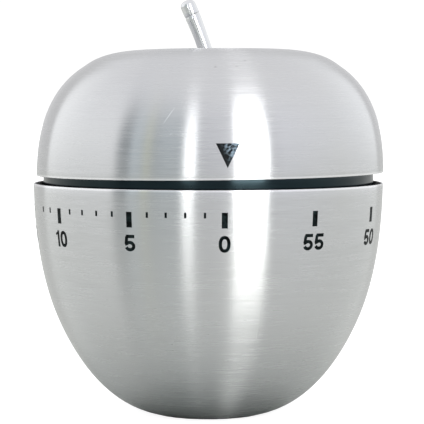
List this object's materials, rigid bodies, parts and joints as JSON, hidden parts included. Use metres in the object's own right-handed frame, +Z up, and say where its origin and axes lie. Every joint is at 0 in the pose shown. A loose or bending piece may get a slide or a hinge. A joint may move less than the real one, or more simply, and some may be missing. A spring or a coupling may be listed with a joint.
{
  "type": "mechanical kitchen timer",
  "caption": "Apple-shaped mechanical kitchen timer: brushed steel skins, turning upper half as dial with bent stem, black collar, clockwork with train, verge, bell and hammer inside.",
  "frame": {"origin": "middle of the foot pad's underside, where the timer stands", "axes": "+Z up along the dial's axis; the zero of the minute scale faces -Y; the stem leans towards -X at rest"},
  "size_m": [0.062, 0.062, 0.0732],
  "materials": {
    "brushed_steel": "satin, brushed round the axis",
    "polished_steel": "mirror polished",
    "plate_steel": "plain sheet and turned steel",
    "spring_steel": "blued spring steel",
    "brass": "stamped brass",
    "gloss_black": "glossy moulded",
    "matte_black": "fine matt moulded",
    "rubber": "matt rubber"
  },
  "bodies": {
    "base": {"lower_shell": "brushed_steel", "lower_housing": "matte_black", "foot_pad": "rubber", "base_screw_1": "plate_steel", "base_screw_2": "plate_steel", "base_screw_3": "plate_steel", "bell": "polished_steel", "bell_post": "plate_steel", "bell_screw": "plate_steel", "deck": "matte_black", "deck_screw_1": "plate_steel", "deck_screw_2": "plate_steel", "deck_screw_3": "plate_steel", "movement_screw_1": "plate_steel", "movement_screw_2": "plate_steel", "movement_screw_3": "plate_steel", "movement_screw_4": "plate_steel", "bottom_plate": "plate_steel", "top_plate": "plate_steel", "pillar_1": "brass", "pillar_2": "brass", "pillar_3": "brass", "pillar_4": "brass", "main_bush_lower": "brass", "main_bush_upper": "brass", "mainspring": "spring_steel", "spring_post": "plate_steel", "hammer_spring": "spring_steel", "stop_pin": "plate_steel"},
    "dial": {"upper_shell": "brushed_steel", "upper_liner": "gloss_black", "stem": "polished_steel", "stem_insert": "brass", "main_arbor": "plate_steel", "hub_bush": "brass", "thrust_washer": "brass", "dial_stop_pin": "plate_steel", "strike_cam": "plate_steel", "great_wheel": "brass", "ratchet_wheel": "plate_steel", "click_pin": "brass", "click_spring": "spring_steel"},
    "click": {"click": "plate_steel"},
    "second": {"second_arbor": "plate_steel", "second_wheel": "brass"},
    "third": {"third_arbor": "plate_steel", "third_wheel": "brass"},
    "escape": {"escape_arbor": "plate_steel", "escape_wheel": "brass"},
    "verge": {"verge_arbor": "plate_steel", "pallet_lever": "brass", "pallet_pin_1": "plate_steel", "pallet_pin_2": "plate_steel", "balance": "brass"},
    "hammer": {"hammer_arbor": "plate_steel", "hammer_arm": "plate_steel", "hammer_head": "brass", "trip_lever": "plate_steel"}
  },
  "joints": [
    {"name": "dial_turn", "type": "hinge", "parent": "base", "child": "dial", "pos_m": [0, 0, 0.04], "axis": [0, 0, -1], "range_deg": [0, 353.89]},
    {"name": "second_spin", "type": "hinge", "parent": "base", "child": "second", "pos_m": [0, 0.01288, 0.025], "axis": [0, 0, -1], "continuous": true},
    {"name": "third_spin", "type": "hinge", "parent": "base", "child": "third", "pos_m": [0.01019, 0.01101, 0.025], "axis": [0, 0, -1], "continuous": true},
    {"name": "escape_spin", "type": "hinge", "parent": "base", "child": "escape", "pos_m": [0.01597, 0.00416, 0.025], "axis": [0, 0, -1], "continuous": true},
    {"name": "verge_rock", "type": "hinge", "parent": "base", "child": "verge", "pos_m": [0.01312, -0.00366, 0.025], "axis": [0, 0, 1], "range_deg": [-5, 5]},
    {"name": "hammer_swing", "type": "hinge", "parent": "base", "child": "hammer", "pos_m": [-0.00817, -0.01258, 0.025], "axis": [0, 0, 1], "range_deg": [-1, 12], "stiffness_Nm_per_rad": 0.002},
    {"name": "click_rock", "type": "hinge", "parent": "dial", "child": "click", "pos_m": [0.0069, -0.0032, 0.025], "axis": [0, 0, -1], "range_deg": [0, 8], "stiffness_Nm_per_rad": 0.0002}
  ],
  "couplings": [
    {"joint": "second_spin", "follows": "dial_turn", "ratio": -6},
    {"joint": "third_spin", "follows": "dial_turn", "ratio": 36},
    {"joint": "escape_spin", "follows": "dial_turn", "ratio": -216}
  ]
}
